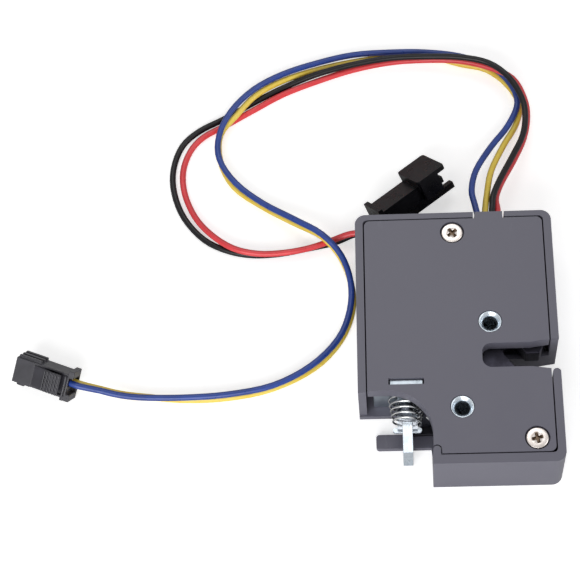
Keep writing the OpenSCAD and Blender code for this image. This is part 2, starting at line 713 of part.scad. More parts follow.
// A side profile drawn in X and Z, extruded across the width
module across(width) {
    rotate([90, 0, 0]) translate([0, 0, -width / 2]) linear_extrude(width) children();
}

// Housing of the two-way plug on the sensor leads: smooth nose, ribbed latch lever, side rails, rear ears
module sensor_plug() {
    hw = plug_w / 2;
    nose_x = plug_len - 6.2;
    body_top = plug_t - 1.3;
    lever_half = hw - 0.7;
    ear_t = 1.8;
    ear = 0.9;
    rib_x = 3.6;
    rib_pitch = 0.95;
    rail_len = 7.8;
    way = 2.3;
    color("#4B4A54") at_plug() difference() {
        union() {
            translate([0.6, -hw, 0]) cube([nose_x, plug_w, body_top]);
            translate([nose_x, -hw, 0]) cube([plug_len - nose_x, plug_w, plug_t]);
            translate([0, -hw - ear, 0]) cube([ear_t, plug_w + 2 * ear, plug_t - 0.6]);
            translate([ear_t, -lever_half, 0]) cube([0.7, 2 * lever_half, plug_t + 0.7]);
            translate([ear_t + 0.6, hw - 1, 1.4]) cube([1.2, 2.7, 3]);
            for (y = [-hw, hw - 0.7]) translate([ear_t, y, 0]) cube([nose_x - ear_t, 0.7, plug_t - 0.3]);
            across(2 * lever_half) polygon([[nose_x + 0.2, body_top - 0.3], [nose_x + 0.2, plug_t - 0.1],
                [nose_x - 3.4, plug_t + 1], [nose_x - 6, plug_t + 1.5], [rib_x - 0.2, plug_t + 1.4],
                [rib_x - 0.2, plug_t + 0.5], [nose_x - 6, plug_t + 0.5], [nose_x - 3, plug_t - 0.4],
                [nose_x - 1.6, body_top - 0.3]]);
            for (i = [0:5]) translate([rib_x + i * rib_pitch, -lever_half, plug_t + 1.1])
                cube([0.5, 2 * lever_half, 0.8]);
            for (z = [0, 2.4, 4.8]) translate([plug_len - rail_len, -hw - 0.8, z]) cube([rail_len -
                0.4, 1.2, 1.3]);
            translate([plug_len - 3.8, hw - 0.4, 3]) cube([2.4, 1.3, 2.8]);
        }
        translate([-1, -2.6, 0.8]) cube([ear_t + 0.6, 5.2, plug_t]);
        for (z = ways) {
            translate([-1, way_y - way / 2, z - way / 2]) cube([plug_len - 3, way, way]);
            translate([plug_len - 5, way_y - 0.7, z - 0.7]) cube([6, 1.4, 1.4]);
        }
    }
}

module sensor_contacts() {
    color("#C9A24A") at_plug() for (z = ways)
        translate([4.2, way_y - 0.6, z - 1.1]) cube([plug_len - 8.6, 1.2, 1.5]);
}

module at_socket() {
    translate(socket_place) rotate([0, 0, socket_heading]) rotate([socket_roll, 0, 0]) children();
}

// Housing of the two-way socket on the power leads: body, mouth, hood for the plug's latch, guide prongs
module power_socket() {
    hw = socket_w / 2;
    half = hood_w / 2;
    cavity_x = 9;
    hood_x = socket_len + 3.2 - hood_len;
    cheek_len = socket_len - hood_x;
    hood_t = 1.5;
    top = socket_t + hood_h;
    prong_x = socket_len - 9.6;
    way = 2.4;
    color("#1C1B20") at_socket() difference() {
        union() {
            translate([0.5, -hw, 0]) cube([socket_len - 0.5, socket_w, socket_t]);
            translate([0, -hw, 0]) cube([1.6, socket_w, socket_t + 1.1]);
            translate([0, 0, 1.6]) cube([1.6, hw + 0.7, socket_t - 0.5]);
            translate([0, 0, top - hood_t]) linear_extrude(hood_t)
                rounded(hood_x, -half, hood_x + hood_len, half, 1);
            translate([hood_x, 1 - half, socket_t - 1.6]) cube([1.4, hood_w - 2, top - socket_t + 0.6]);
            for (y = [-half, half - 1.3]) translate([hood_x + 0.6, y, 3]) cube([cheek_len - 0.6, 1.3,
                top - hood_t - 2]);
            for (y = [-half + 0.5, hw - 0.5]) translate([hood_x + 0.6, y, 3]) 
                cube([cheek_len - 0.6, half - hw, 1.3]);
            for (y = [-hw, hw - 2]) translate([prong_x, y, 0]) cube([socket_len + 4.3 - prong_x, 2, 2.1]);
            translate([hood_x + 0.6, 1.4 - hw, socket_t - 0.5]) 
                cube([4, socket_w - 2.8, top - socket_t - 0.2]);
        }
        translate([cavity_x, 2 - hw, 1.9]) cube([socket_len, socket_w - 4, socket_t - 2.9]);
        for (y = [-pitch / 2, pitch / 2]) translate([-1, y - way / 2, 1.4]) cube([cavity_x + 2, way, way]);
    }
}

module power_pins() {
    color("#C9A24A") at_socket() for (y = [-pitch / 2, pitch / 2])
        translate([3.6, y - 0.45, 2.2]) cube([socket_len - 7, 0.9, 0.9]);
}

function smooth(p, n = 2) = [
    for (i = [0:len(p) - 2], k = [0:n - 1])
        let (a = p[max(i - 1, 0)], b = p[i], c = p[i + 1], d = p[min(i + 2, len(p) - 1)], t = k / n)
            0.5 * (2 * b + (c - a) * t + (2 * a - 5 * b + 4 * c - d) * t * t + (3 * b - a - 3 * c + d)
                * t * t * t),
    p[len(p) - 1]];

module blue_wire() { color("#2B4796") tube(smooth(blue_route), wire_d, 8); }
module yellow_wire() { color("#F2D462") tube(smooth(yellow_route), wire_d, 8); }
module black_wire() { color("#231F20") tube(smooth(black_route), wire_d, 8); }
module red_wire() { color("#E0474C") tube(smooth(red_route), wire_d, 8); }

module blue_lead() {
    x = switch_x0 + switch_h + 3.4;
    y = switch_y0 + 9.4;
    color("#2B4796") inner_lead([[x, y, lead_z + 3], [x - 1.8, y + 8, lead_z + 4], [x - 10.6, y + 12,
        lead_z + 4.4],
        [wires_x[0] + 1.4, case_h - 9, lead_z + 3], [wires_x[0], case_h - 6.6, lead_z + 0.6]], 0);
}

module yellow_lead() {
    x = switch_x0 + switch_h + 3.4;
    y = switch_y0 + 1;
    color("#F2D462") inner_lead([[x, y, lead_z - 1.9], [x - 0.2, y + 11, lead_z - 3], [x - 2.8, y + 19,
        lead_z - 5],
        [x - 11.6, y + 20.5, lead_z - 5], [wires_x[1] + 0.6, case_h - 9, lead_z - 3],
        [wires_x[1], case_h - 6.6, lead_z - 0.6]], 1);
}

module black_lead() {
    x = sol_x + 4.2;
    y = sol_y + frame_len;
    color("#231F20") inner_lead([[x, y - frame_t + 0.4, sol_z + 5.2], [x, y + 0.4, sol_z + 5.2], [x +
        3, y + 3.4, sol_z + 4],
        [x + 11, y + 4.4, lead_z + 0.5], [wires_x[2] - 4, case_h - 11.5, lead_z], [wires_x[2] - 0.6,
            case_h - 9, lead_z]], 2);
}

module red_lead() {
    x = sol_x + 6.3;
    y = sol_y + frame_len;
    color("#E0474C") inner_lead([[x, y - frame_t + 0.4, sol_z + 5.2], [x, y + 0.2, sol_z + 5.2], [x +
        3.4, y + 1.6, sol_z + 2],
        [x + 11, y + 2.5, lead_z - 2.4], [wires_x[3] - 4.6, case_h - 13.2, lead_z - 2.4],
        [wires_x[3] - 0.6, case_h - 10.5, lead_z - 1.5], [wires_x[3], case_h - 7.6, lead_z]], 3);
}

base_shell();
cover_plate();
cover_screw_top();
cover_screw_bottom();
mounting_sleeve_upper();
mounting_sleeve_lower();
latch_claw();
claw_spring();
release_lever();
lever_pin();
lever_spring();
solenoid_frame();
coil_bobbin();
coil_winding();
fixed_core();
plunger();
plunger_spring();
release_strip();
switch_body();
switch_button();
switch_leaf();
switch_terminals();
blue_lead();
yellow_lead();
black_lead();
red_lead();
blue_wire();
yellow_wire();
black_wire();
red_wire();
sensor_plug();
sensor_contacts();
power_socket();
power_pins();
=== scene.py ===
import json
import math
import bmesh
import bpy
from mathutils import Matrix, Vector


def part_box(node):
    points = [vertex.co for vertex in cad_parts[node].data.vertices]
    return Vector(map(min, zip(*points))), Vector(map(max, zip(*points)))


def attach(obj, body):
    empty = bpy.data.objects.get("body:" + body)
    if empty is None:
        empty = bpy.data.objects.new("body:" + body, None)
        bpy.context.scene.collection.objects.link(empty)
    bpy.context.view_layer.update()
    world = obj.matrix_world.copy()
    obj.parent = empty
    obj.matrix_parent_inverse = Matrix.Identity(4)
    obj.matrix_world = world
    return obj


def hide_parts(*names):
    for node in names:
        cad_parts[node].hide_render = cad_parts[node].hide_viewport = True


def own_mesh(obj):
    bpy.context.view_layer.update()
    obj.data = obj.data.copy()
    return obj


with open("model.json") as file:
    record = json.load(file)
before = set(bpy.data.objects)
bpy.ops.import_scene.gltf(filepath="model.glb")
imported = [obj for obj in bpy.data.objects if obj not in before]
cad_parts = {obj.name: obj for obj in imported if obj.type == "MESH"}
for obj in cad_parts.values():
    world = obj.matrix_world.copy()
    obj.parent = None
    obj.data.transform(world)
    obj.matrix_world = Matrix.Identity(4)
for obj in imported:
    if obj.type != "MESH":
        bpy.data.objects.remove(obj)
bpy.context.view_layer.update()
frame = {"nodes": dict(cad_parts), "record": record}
mm = 0.001
print("frame loaded:", len(frame["nodes"]), "nodes")


def linear(hexColour):
    # sRGB hex to the linear colour that the shaders take
    channels = [int(hexColour[i:i + 2], 16) / 255 for i in (1, 3, 5)]
    return [c / 12.92 if c <= 0.04045 else ((c + 0.055) / 1.055) ** 2.4 for c in channels] + [1.0]


def addNode(tree, kind, settings=None, links=None):
    # names that start with a capital, and numbers, are sockets; the rest are the node's own settings
    node = tree.nodes.new(kind)
    for key, value in (settings or {}).items():
        if isinstance(key, int) or key[0].isupper():
            node.inputs[key].default_value = value
        else:
            setattr(node, key, value)
    for socket, source in (links or {}).items():
        tree.links.new(source, node.inputs[socket])
    return node


# camera, at the photograph's viewing angle
cameraView = {
    "lens": 118.054,  # mm
    "sensor": 36,  # mm wide
    "nearest": 10,  # mm, what is closer isn't drawn
    "place": (-18.3065, -234.3505, 538.7358),  # mm
    "turn": (25.72308, 3.52579, -0.06437),  # degrees
}


def makeCamera(view):
    data = bpy.data.cameras.new("lockCamera")
    data.lens = view["lens"]
    data.sensor_width = view["sensor"]
    data.clip_start = view["nearest"] * mm
    camera = bpy.data.objects.new("lockCamera", data)
    camera.location = Vector(view["place"]) * mm
    camera.rotation_euler = [math.radians(a) for a in view["turn"]]
    bpy.context.scene.collection.objects.link(camera)
    bpy.context.scene.camera = camera


makeCamera(cameraView)
print("camera placed")

# what the finishes of a family share; a pattern is its size in mm, detail, roughness and stretch
even = (1, 1, 1)
mouldedPlastic = {
    "shine": {"IOR": 1.53, "Metallic": 0.0, "Specular IOR Level": 0.5},
    "cloud": (14.0, 2.0, 0.5, even),  # tone and sheen drift, as the melt cooled unevenly
    "relief": (0.32, 4.0, 0.6, even),  # the tool's eroded grain, drawn coarser than it is, to show at all
    "scuff": (5.0, 5.0, 0.65, (1.0, 0.16, 1.0)),  # streaks rubbed by handling
    "scuffTone": "#A3A2AB",
    "scuffed": 0.12,  # share of that tone in a streak
    "sheenFrom": "cloud",
    "rough": (0.36, 0.44),  # where the pattern is low and high
    "depth": 0.02,  # mm of relief
    "bite": 0.35,  # how much of the relief the light sees
}
platedSteel = {
    "shine": {"Metallic": 1.0},
    "cloud": (3.0, 3.0, 0.5, even),  # handling dulls the thin coat in blotches
    "relief": (0.5, 3.0, 0.6, (1.0, 0.12, 1.0)),  # lines left by rolling
    "dark": "#C6D0D9",
    "light": "#E2EAF1",
    "sheenFrom": "relief",
    "rough": (0.22, 0.34),
    "depth": 0.012,
    "bite": 0.4,
}
extrudedPvc = {
    "shine": {"IOR": 1.53, "Metallic": 0.0, "Specular IOR Level": 0.5},
    "cloud": (6.0, 2.0, 0.5, even),
    "relief": (1.4, 3.0, 0.5, even),  # waves from the die and the lay of the strands
    "sheenFrom": "relief",
    "rough": (0.26, 0.38),
    "depth": 0.05,
    "bite": 0.35,
}
noiseSpan = (0.3, 0.7)  # nearly all values of a noise lie between these
scuffSpan = (0.66, 0.74)  # streaks show only at its highest values


def newMaterial(name):
    material = bpy.data.materials.new(name)
    material.use_nodes = True
    material.node_tree.nodes.clear()
    return material, material.node_tree


def closeMaterial(tree, shine, links):
    shader = addNode(tree, "ShaderNodeBsdfPrincipled", shine, links)
    addNode(tree, "ShaderNodeOutputMaterial", links={"Surface": shader.outputs["BSDF"]})


def makeFinish(name, values):
    # tone that drifts from dark to light, relief in the surface, and streaks rubbed paler on plastics
    material, tree = newMaterial(name)
    place = addNode(tree, "ShaderNodeTexCoord").outputs["Object"]
    noise = {}
    for pattern in [key for key in ("cloud", "relief", "scuff") if key in values]:
        size, detail, rough, stretch = values[pattern]
        mapped = addNode(tree, "ShaderNodeMapping", {"Scale": stretch}, {"Vector": place})
        noise[pattern] = addNode(tree, "ShaderNodeTexNoise",
                                 {"Scale": 1 / (size * mm), "Detail": detail, "Roughness": rough},
                                 {"Vector": mapped.outputs["Vector"]}).outputs["Fac"]
    tone = addNode(tree, "ShaderNodeMapRange",
                   {"From Min": noiseSpan[0], "From Max": noiseSpan[1], "To Min": 0.0, "To Max": 1.0},
                   {"Value": noise["cloud"]})
    colour = addNode(tree, "ShaderNodeMix",
                     {"data_type": "RGBA", 6: linear(values["dark"]), 7: linear(values["light"])},
                     {"Factor": tone.outputs["Result"]})
    if "scuff" in noise:
        rubbed = addNode(tree, "ShaderNodeMapRange",
                         {"From Min": scuffSpan[0], "From Max": scuffSpan[1], "To Min": 0.0,
                          "To Max": values["scuffed"]}, {"Value": noise["scuff"]})
        colour = addNode(tree, "ShaderNodeMix", {"data_type": "RGBA", 7: linear(values["scuffTone"])},
                         {"Factor": rubbed.outputs["Result"], 6: colour.outputs[2]})
    sheen = addNode(tree, "ShaderNodeMapRange",
                    {"From Min": noiseSpan[0], "From Max": noiseSpan[1], "To Min": values["rough"][0],
                     "To Max": values["rough"][1]}, {"Value": noise[values["sheenFrom"]]})
    bump = addNode(tree, "ShaderNodeBump", {"Distance": values["depth"] * mm, "Strength": values["bite"]},
                   {"Height": noise["relief"]})
    closeMaterial(tree, values["shine"],
                  {"Base Color": colour.outputs[2], "Roughness": sheen.outputs["Result"],
                   "Normal": bump.outputs["Normal"]})
    return material


finishes = {
    # moulded ABS of the case: the grained tool gives it a soft grey sheen
    "case_plastic": ("greyMouldedAbs", {**mouldedPlastic, "dark": "#62616E", "light": "#676672"}),
    # moulded nylon of the plug: glossier, as its tool is smoother
    "plug_plastic": ("darkMouldedNylon", {
        **mouldedPlastic, "dark": "#2B2A31", "light": "#34333B", "cloud": (4.0, 2.0, 0.5, even),
        "scuffed": 0.05, "rough": (0.26, 0.36)}),
    # black nylon of the socket: so dark that only its edges catch the light
    "socket_plastic": ("blackMouldedNylon", {
        **mouldedPlastic, "shine": {**mouldedPlastic["shine"], "Specular IOR Level": 0.2},
        "dark": "#08080B", "light": "#0C0B10", "cloud": (4.0, 2.0, 0.5, even), "scuffed": 0.04,
        "rough": (0.24, 0.34)}),
    # glass-filled PBT of the small switch: black and a little dull
    "switch_black": ("blackSwitchPbt", {
        **mouldedPlastic, "dark": "#1D1D20", "light": "#25252A", "cloud": (3.0, 2.0, 0.5, even)}),
    # unpigmented nylon of the bobbin: milky and waxy
    "bobbin_plastic": ("naturalNylon", {
        **mouldedPlastic, "dark": "#DCD6C8", "light": "#E9E5DA", "scuffTone": "#CFC9BA",
        "rough": (0.38, 0.48)}),
    # acetal of the switch's button: slippery, with a low gloss
    "button_red": ("redAcetal", {
        **mouldedPlastic, "dark": "#A3342B", "light": "#B33D33", "cloud": (1.5, 2.0, 0.5, even),
        "scuffTone": "#C98A84", "rough": (0.25, 0.35)}),
    # bright zinc on the turned sleeves: cold and clear
    "zinc_steel": ("brightZincPlate", platedSteel),
    # nickel on the screws: warmer than zinc, without lines
    "nickel_screw": ("warmNickelPlate", {
        **platedSteel, "dark": "#D8CFC8", "light": "#F4ECE7", "relief": (0.5, 3.0, 0.6, even),
        "rough": (0.24, 0.36)}),
    # zinc-plated strip of the frame: rolled, so duller than turned metal
    "frame_steel": ("zincPlatedStrip", {
        **platedSteel, "dark": "#A9B3BC", "light": "#CBD4DC", "cloud": (6.0, 3.0, 0.5, even),
        "rough": (0.30, 0.44)}),
    # spring wire, drawn through a die: smooth and bright
    "spring_steel": ("drawnSpringWire", {
        **platedSteel, "dark": "#C2C4C6", "light": "#E6E6E4", "cloud": (1.2, 3.0, 0.5, even),
        "relief": (0.2, 3.0, 0.6, (1.0, 0.12, 1.0)), "rough": (0.14, 0.24)}),
    # plunger steel, ground and polished round: darker, the smoothest of all
    "core_steel": ("polishedPlungerSteel", {
        **platedSteel, "dark": "#8A8E94", "light": "#B9BEC5", "relief": (0.5, 3.0, 0.6, (0.1, 1.0, 0.1)),
        "rough": (0.12, 0.22)}),
    # cast zinc of the claw, dipped dark: matt, with the casting's fine pits
    "claw_metal": ("dippedZincCasting", {
        **platedSteel, "dark": "#3A3942", "light": "#4A4954", "cloud": (2.5, 3.0, 0.5, even),
        "relief": (0.6, 3.0, 0.6, even), "rough": (0.42, 0.56), "depth": 0.03}),
    # phosphated steel of the lever: almost black, dry and matt
    "lever_metal": ("phosphatedSteel", {
        **platedSteel, "dark": "#2A292E", "light": "#38373D", "cloud": (1.6, 3.0, 0.5, even),
        "relief": (0.5, 3.0, 0.6, even), "rough": (0.5, 0.62), "depth": 0.02}),
    # enamelled copper, wound turn beside turn: red-brown rings, drawn coarser than the wire is
    "winding": ("lacqueredCopper", {
        **platedSteel, "dark": "#7A3320", "light": "#9A4A2C", "relief": (0.35, 3.0, 0.6, (0.05, 1.0, 0.05)),
        "depth": 0.08}),
    # stamped brass of the contacts: yellow, with the sheet's rolling lines
    "brass": ("stampedBrass", {
        **platedSteel, "dark": "#B08C3E", "light": "#CDA95A", "cloud": (1.5, 3.0, 0.5, even)}),
    # soft extruded PVC on the wires: even colour and a wet-looking gloss
    "blue_insulation": ("bluePvc", {**extrudedPvc, "dark": "#213F8E", "light": "#2A4AA0"}),
    "yellow_insulation": ("yellowPvc", {**extrudedPvc, "dark": "#FAD64C", "light": "#FFE36A"}),
    "black_insulation": ("blackPvc", {
        **extrudedPvc, "shine": {**extrudedPvc["shine"], "Specular IOR Level": 0.3},
        "dark": "#0E0C10", "light": "#151317"}),
    "red_insulation": ("redPvc", {**extrudedPvc, "dark": "#E43C42", "light": "#F04A50"}),
}
materials = {slot: makeFinish(name, values) for slot, (name, values) in finishes.items()}
# the screws' cross recesses take a darker brown nickel: painted shade, standing in for the dark of the
# hollows
recessShadeNickel = makeFinish("nickelWithPaintedRecessShade", {
    **platedSteel, "dark": "#4A3B30", "light": "#A08C78", "cloud": (0.4, 3.0, 0.5, even),
    "relief": (0.3, 3.0, 0.6, even), "rough": (0.4, 0.6), "depth": 0.05})
slotOf = {row["node"]: row["material_slot"] for row in frame["record"]["subparts"]}
bodyOf = {node: body for body, nodes in frame["record"]["behaviour"]["bodies"].items() for node in nodes}


def dress(piece, slot):
    # the material of one of the record's slots, on the whole piece
    piece.data.materials.clear()
    piece.data.materials.append(materials[slot])


for name, node in frame["nodes"].items():
    dress(node, slotOf[name])
print("materials made:", len(materials))


def settle(piece, node):
    # the piece moves with the node's body, takes its finish and stands for it
    if not piece.data.materials:
        piece.data.materials.append(materials[slotOf[node]])
    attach(piece, bodyOf[node])
    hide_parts(node)
    return piece


def addPiece(name, mesh):
    piece = bpy.data.objects.new(name, mesh)
    bpy.context.scene.collection.objects.link(piece)
    return piece


def bake(piece):
    # the modifiers' result becomes the piece's own mesh
    bpy.context.view_layer.update()
    result = bpy.data.meshes.new_from_object(piece.evaluated_get(bpy.context.evaluated_depsgraph_get()))
    result.name = piece.name
    piece.modifiers.clear()
    piece.data = result
    return piece


# free wires, each one open spline along the route's points, in mm
wireRun = {
    "diameter": 2.0,
    "steps": 4,  # spans drawn between two of the route's points
    "sides": 5,  # roundness of the section
}
wireRoutes = {
    "blue": [
        (8.3, 41, 11), (8.3, 43.8, 10.9), (7.5, 48.8, 10.3), (6.8, 54.4, 9.6), (8.6, 62.4, 8),
        (13.8, 71.9, 5.8), (19.8, 80.7, 4.1), (23.3, 89.7, 3.3), (21, 97.5, 3.3), (15.2, 104, 3.1),
        (5.3, 108.4, 3), (-6.1, 110.2, 3.3), (-17.6, 110.7, 3.2), (-30, 110.3, 3), (-42.1, 107.5, 3.1),
        (-53.5, 103.2, 3.7), (-62.9, 97.2, 4.5), (-70.1, 88.9, 5.1), (-74, 80.3, 4.4), (-73.9, 71.9, 3.3),
        (-68.4, 62.8, 3.3), (-59.6, 55, 3.7), (-49.3, 47.7, 5.8), (-40.7, 41.2, 7.7), (-34.8, 34.7, 5.6),
        (-32, 26.4, 3.3), (-32.4, 16.5, 3.2), (-36.2, 6.8, 3.2), (-44.6, -1.9, 3.3), (-56.3, -8.1, 3.3),
        (-70, -10.7, 3.3), (-83.3, -11.4, 3.3), (-95.6, -11.1, 3.3), (-103.2, -10.5, 4.3),
        (-109.5, -9.2, 5.4), (-115.4, -8.2, 6.6), (-118.4, -7, 6.6)],
    "yellow": [
        (10.4, 41, 11), (10.4, 43.6, 10.8), (10.8, 47.8, 10), (11.5, 52.5, 9.3), (13.3, 62, 7.4),
        (17.8, 72.7, 4.7), (22.4, 81.8, 2.4), (24, 90, 1.25), (20.6, 97.7, 1.2), (14, 103.9, 1.2),
        (5.3, 106.5, 1.2), (-6.1, 110.2, 1.2), (-17.7, 110.2, 1.2), (-30, 108.7, 1.2), (-42.1, 106.1, 1.2),
        (-53.5, 101.8, 1.9), (-62.3, 95.7, 3.1), (-68.6, 88.1, 3.4), (-73.7, 81.7, 2.3), (-73.9, 72.9, 1.2),
        (-69.3, 62.7, 1.2), (-60.1, 55.2, 1.2), (-49.7, 47.7, 3.4), (-40.7, 41.4, 5.5), (-35, 35, 3.2),
        (-31.9, 26.7, 1.2), (-31.7, 17, 1.2), (-35.7, 6.8, 1.2), (-43.8, -1.9, 1.2), (-56.5, -8.3, 1.2),
        (-70.2, -11, 1.2), (-83.5, -11.3, 1.2), (-96, -9.9, 1.2), (-103.4, -9.2, 2.4), (-109.8, -7.8, 3.5),
        (-114.8, -6.8, 4.7), (-117.9, -5.6, 4.7)],
    "black": [
        (12.5, 41, 11), (12.5, 43.6, 10.9), (12.9, 47.6, 10.4), (13.5, 51.9, 10.4), (15.9, 58, 9.4),
        (20.2, 66.8, 7.9), (24.1, 75.4, 6.6), (25.4, 83.3, 5.7), (24.6, 89.7, 6.2), (20.8, 96.9, 7.3),
        (14.4, 102.7, 7.3), (5.2, 105.4, 7.1), (-6.2, 107, 5.7), (-17.7, 107.1, 5.3), (-30, 105.6, 4.5),
        (-41.9, 103.1, 3.3), (-53.2, 99.5, 1.3), (-62.9, 94.3, 1.1), (-72.9, 88.3, 1.1), (-80.8, 84, 1.1),
        (-86.4, 78.4, 1.1), (-89.1, 69.8, 1.1), (-88.6, 61, 1.1), (-85.1, 51.7, 1.1), (-78.6, 43.8, 1.1),
        (-71, 39.6, 1.1), (-63.2, 37.8, 1.1), (-54.3, 38, 1.1), (-45.5, 39.6, 1.1), (-37.4, 41.3, 1.1),
        (-31.6, 43.2, 2.2), (-28.3, 43.9, 3), (-24.9, 45.1, 3.9), (-22, 47.3, 3.9)],
    "red": [
        (14.6, 41, 11), (14.5, 43.6, 10.4), (14.6, 47.6, 9.2), (14.4, 52.3, 7.7), (16.6, 58.5, 6.7),
        (20.9, 67.1, 5.1), (24.6, 75.8, 3.8), (26.2, 84.3, 3.2), (25.5, 90.6, 4.3), (22.1, 97.5, 5.5),
        (14.9, 102.3, 5), (5.3, 105.6, 4.5), (-6.2, 107.2, 3.2), (-17.8, 106.9, 2.9), (-30.1, 105, 2.1),
        (-42, 101.5, 1.4), (-53.4, 97, 1.1), (-63.1, 91.3, 1.1), (-71.6, 86.2, 1.1), (-79.5, 81.6, 1.1),
        (-83.8, 76.2, 1.1), (-85.9, 68.9, 1.1), (-85.2, 60.8, 1.1), (-81.7, 52, 1.6), (-76.4, 45, 2.6),
        (-69.2, 39.4, 3.4), (-61.2, 37.2, 3.3), (-52.6, 37.4, 3.1), (-44.7, 38.8, 3.1), (-37.8, 41.2, 3.1),
        (-32.6, 42.6, 4.2), (-28.3, 42.8, 5), (-23.7, 43.5, 5.4), (-20.7, 45.8, 5.4)],
}


def smoothRoute(points, steps):
    # the same curve through the points as the solids have
    route = []
    for i in range(len(points) - 1):
        a, b, c, d = (Vector(points[min(max(k, 0), len(points) - 1)]) for k in (i - 1, i, i + 1, i + 2))
        for step in range(steps):
            t = step / steps
            route.append(0.5 * (2 * b + (c - a) * t + (2 * a - 5 * b + 4 * c - d) * t * t
                                + (3 * b - a - 3 * c + d) * t ** 3))
    return [p * mm for p in route + [Vector(points[-1])]]


def makeWire(colour, points, run):
    route = smoothRoute(points, run["steps"])
    curve = bpy.data.curves.new(colour + "Wire", "CURVE")
    curve.dimensions = "3D"
    curve.bevel_depth = run["diameter"] / 2 * mm
    curve.bevel_resolution = run["sides"]
    curve.use_fill_caps = True
    spline = curve.splines.new("POLY")
    spline.points.add(len(route) - 1)
    for point, place in zip(spline.points, route):
        point.co = (*place, 1)
    spline.use_smooth = True
    wire = addPiece(colour + "Wire", curve)
    settle(wire, colour + "_wire")
    length = sum((b - a).length for a, b in zip(route, route[1:]))
    return wire, route[0], length


wires = {colour: makeWire(colour, points, wireRun) for colour, points in wireRoutes.items()}
print("wires laid:", {colour: round(w[2], 4) for colour, w in wires.items()})

# width of the broken edges of moulded and pressed pieces, in mm
edgeBreak = {
    "base_shell": 0.9, "cover_plate": 0.35, "latch_claw": 0.35, "release_strip": 0.3, "plunger": 0.3,
    "solenoid_frame": 0.3, "sensor_plug": 0.25, "power_socket": 0.3, "release_lever": 0.2,
    "switch_body": 0.3,
}
edgeRules = {
    "merge": 0.002,  # mm, corners closer than this are one
    "flat": 0.4,  # degrees, faces that turn less are one
    "sharp": 32,  # degrees, edges that turn more are broken
    "reach": 0.45,  # share of the shortest edge nearby that the break may take
    "steps": 3,  # faces across a broken edge
    "flatness": 90,  # how strongly the large faces keep their shading flat
}


def pieceName(node):
    words = node.split("_")
    return words[0] + "".join(word.capitalize() for word in words[1:])


def roundedCopy(node, radius, rules):
    # the node's own form with its sharp edges broken, as they leave the mould or the press
    mesh = frame["nodes"][node].data.copy()
    form = bmesh.new()
    form.from_mesh(mesh)
    bmesh.ops.remove_doubles(form, verts=form.verts, dist=rules["merge"] * mm)
    bmesh.ops.recalc_face_normals(form, faces=form.faces)
    bmesh.ops.dissolve_limit(form, angle_limit=math.radians(rules["flat"]), verts=form.verts,
                             edges=form.edges)
    for face in form.faces:
        face.smooth = True
    layers = form.edges.layers.float
    share = layers.get("bevel_weight_edge") or layers.new("bevel_weight_edge")
    for edge in form.edges:
        if len(edge.link_faces) == 2 and edge.calc_face_angle(0) > math.radians(rules["sharp"]):
            # short edges near it take less of the width
            near = min(other.calc_length() for vert in edge.verts for other in vert.link_edges)
            edge[share] = min(1, near * rules["reach"] / (radius * mm))
    form.to_mesh(mesh)
    form.free()
    mesh.materials.clear()
    copy = addPiece(pieceName(node), mesh)
    bevel = copy.modifiers.new("edgeBreak", "BEVEL")
    bevel.width = radius * mm
    bevel.segments = rules["steps"]
    bevel.limit_method = "WEIGHT"
    bevel.miter_outer = "MITER_ARC"
    smooth = copy.modifiers.new("flatFacesStayFlat", "WEIGHTED_NORMAL")
    smooth.weight = rules["flatness"]
    return settle(bake(copy), node)


rounded = {node: roundedCopy(node, radius, edgeRules) for node, radius in edgeBreak.items()}
print("edges broken:", len(rounded))


def axisOf(node):
    # where the node's upright axis meets the floor
    low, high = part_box(node)
    return Vector(((low[0] + high[0]) / 2, (low[1] + high[1]) / 2, 0))


def addRing(form, centre, radii, height):
    # a ring of a turned form, with one radius for each of its sides, or its single point on the axis
    if radii[0] == 0:
        return [form.verts.new(centre + Vector((0, 0, height)) * mm)]
    sides = len(radii)
    return [form.verts.new(centre + Vector((radius * math.cos(math.tau * k / sides),
                                            radius * math.sin(math.tau * k / sides), height)) * mm)
            for k, radius in enumerate(radii)]


def joinRings(form, first, second):
    # faces from one ring to the next; at a point on the axis they are triangles
    for k in range(max(len(first), len(second))):
        corners = []
        for vert in (first[k % len(first)], first[(k + 1) % len(first)],
                     second[(k + 1) % len(second)], second[k % len(second)]):
            if vert not in corners:
                corners.append(vert)
        form.faces.new(corners).smooth = True


def turnedPiece(node, rings, closed=False):
    # a piece turned round the node's upright axis, from rings of (radii, height) in mm
    form = bmesh.new()
    made = [addRing(form, axisOf(node), radii, height) for radii, height in rings]
    for first, second in zip(made, made[1:] + made[:1] if closed else made[1:]):
        joinRings(form, first, second)
    bmesh.ops.recalc_face_normals(form, faces=form.faces)
    mesh = bpy.data.meshes.new(pieceName(node))
    form.to_mesh(mesh)
    form.free()
    return addPiece(pieceName(node), mesh)


# cover screws: pan head with a cross recess, shank with a rolled thread
screwForm = {
    "sides": 48,
    # shares of the head's radius, with mm under the top
    "head": [(0, 0), (0.6, 0), (0.86, 0.03), (0.95, 0.09), (0.985, 0.2), (1, 0.4), (1, 1.4), (0.97, 1.5)],
    "seat": 1.5,  # mm from the top to the head's underside
    "shank": 2.9,  # mm over the thread
    "pitch": 1.0,  # mm
    "threadDepth": 0.25,  # mm
    "flank": 3,  # the thread rises and falls over a third of a pitch each
    "ringsPerTurn": 8,
    "point": 0.8,  # mm below the thread
    "tipSize": 0.6,  # share of the core's radius
    "tipRise": 0.1,  # mm, how far the tip is domed
    "cross": 3.4,  # mm over the recess
    "wing": 1.0,  # mm, width of its wings
    "depth": 0.9,  # mm
    "flare": 1.05,  # share of that size at the mouth
    "narrow": 0.55,  # and at the bottom
    "over": 0.1,  # mm that the cutter stands out of the head
    "turned": {"cover_screw_top": 38, "cover_screw_bottom": 14},  # degrees
}


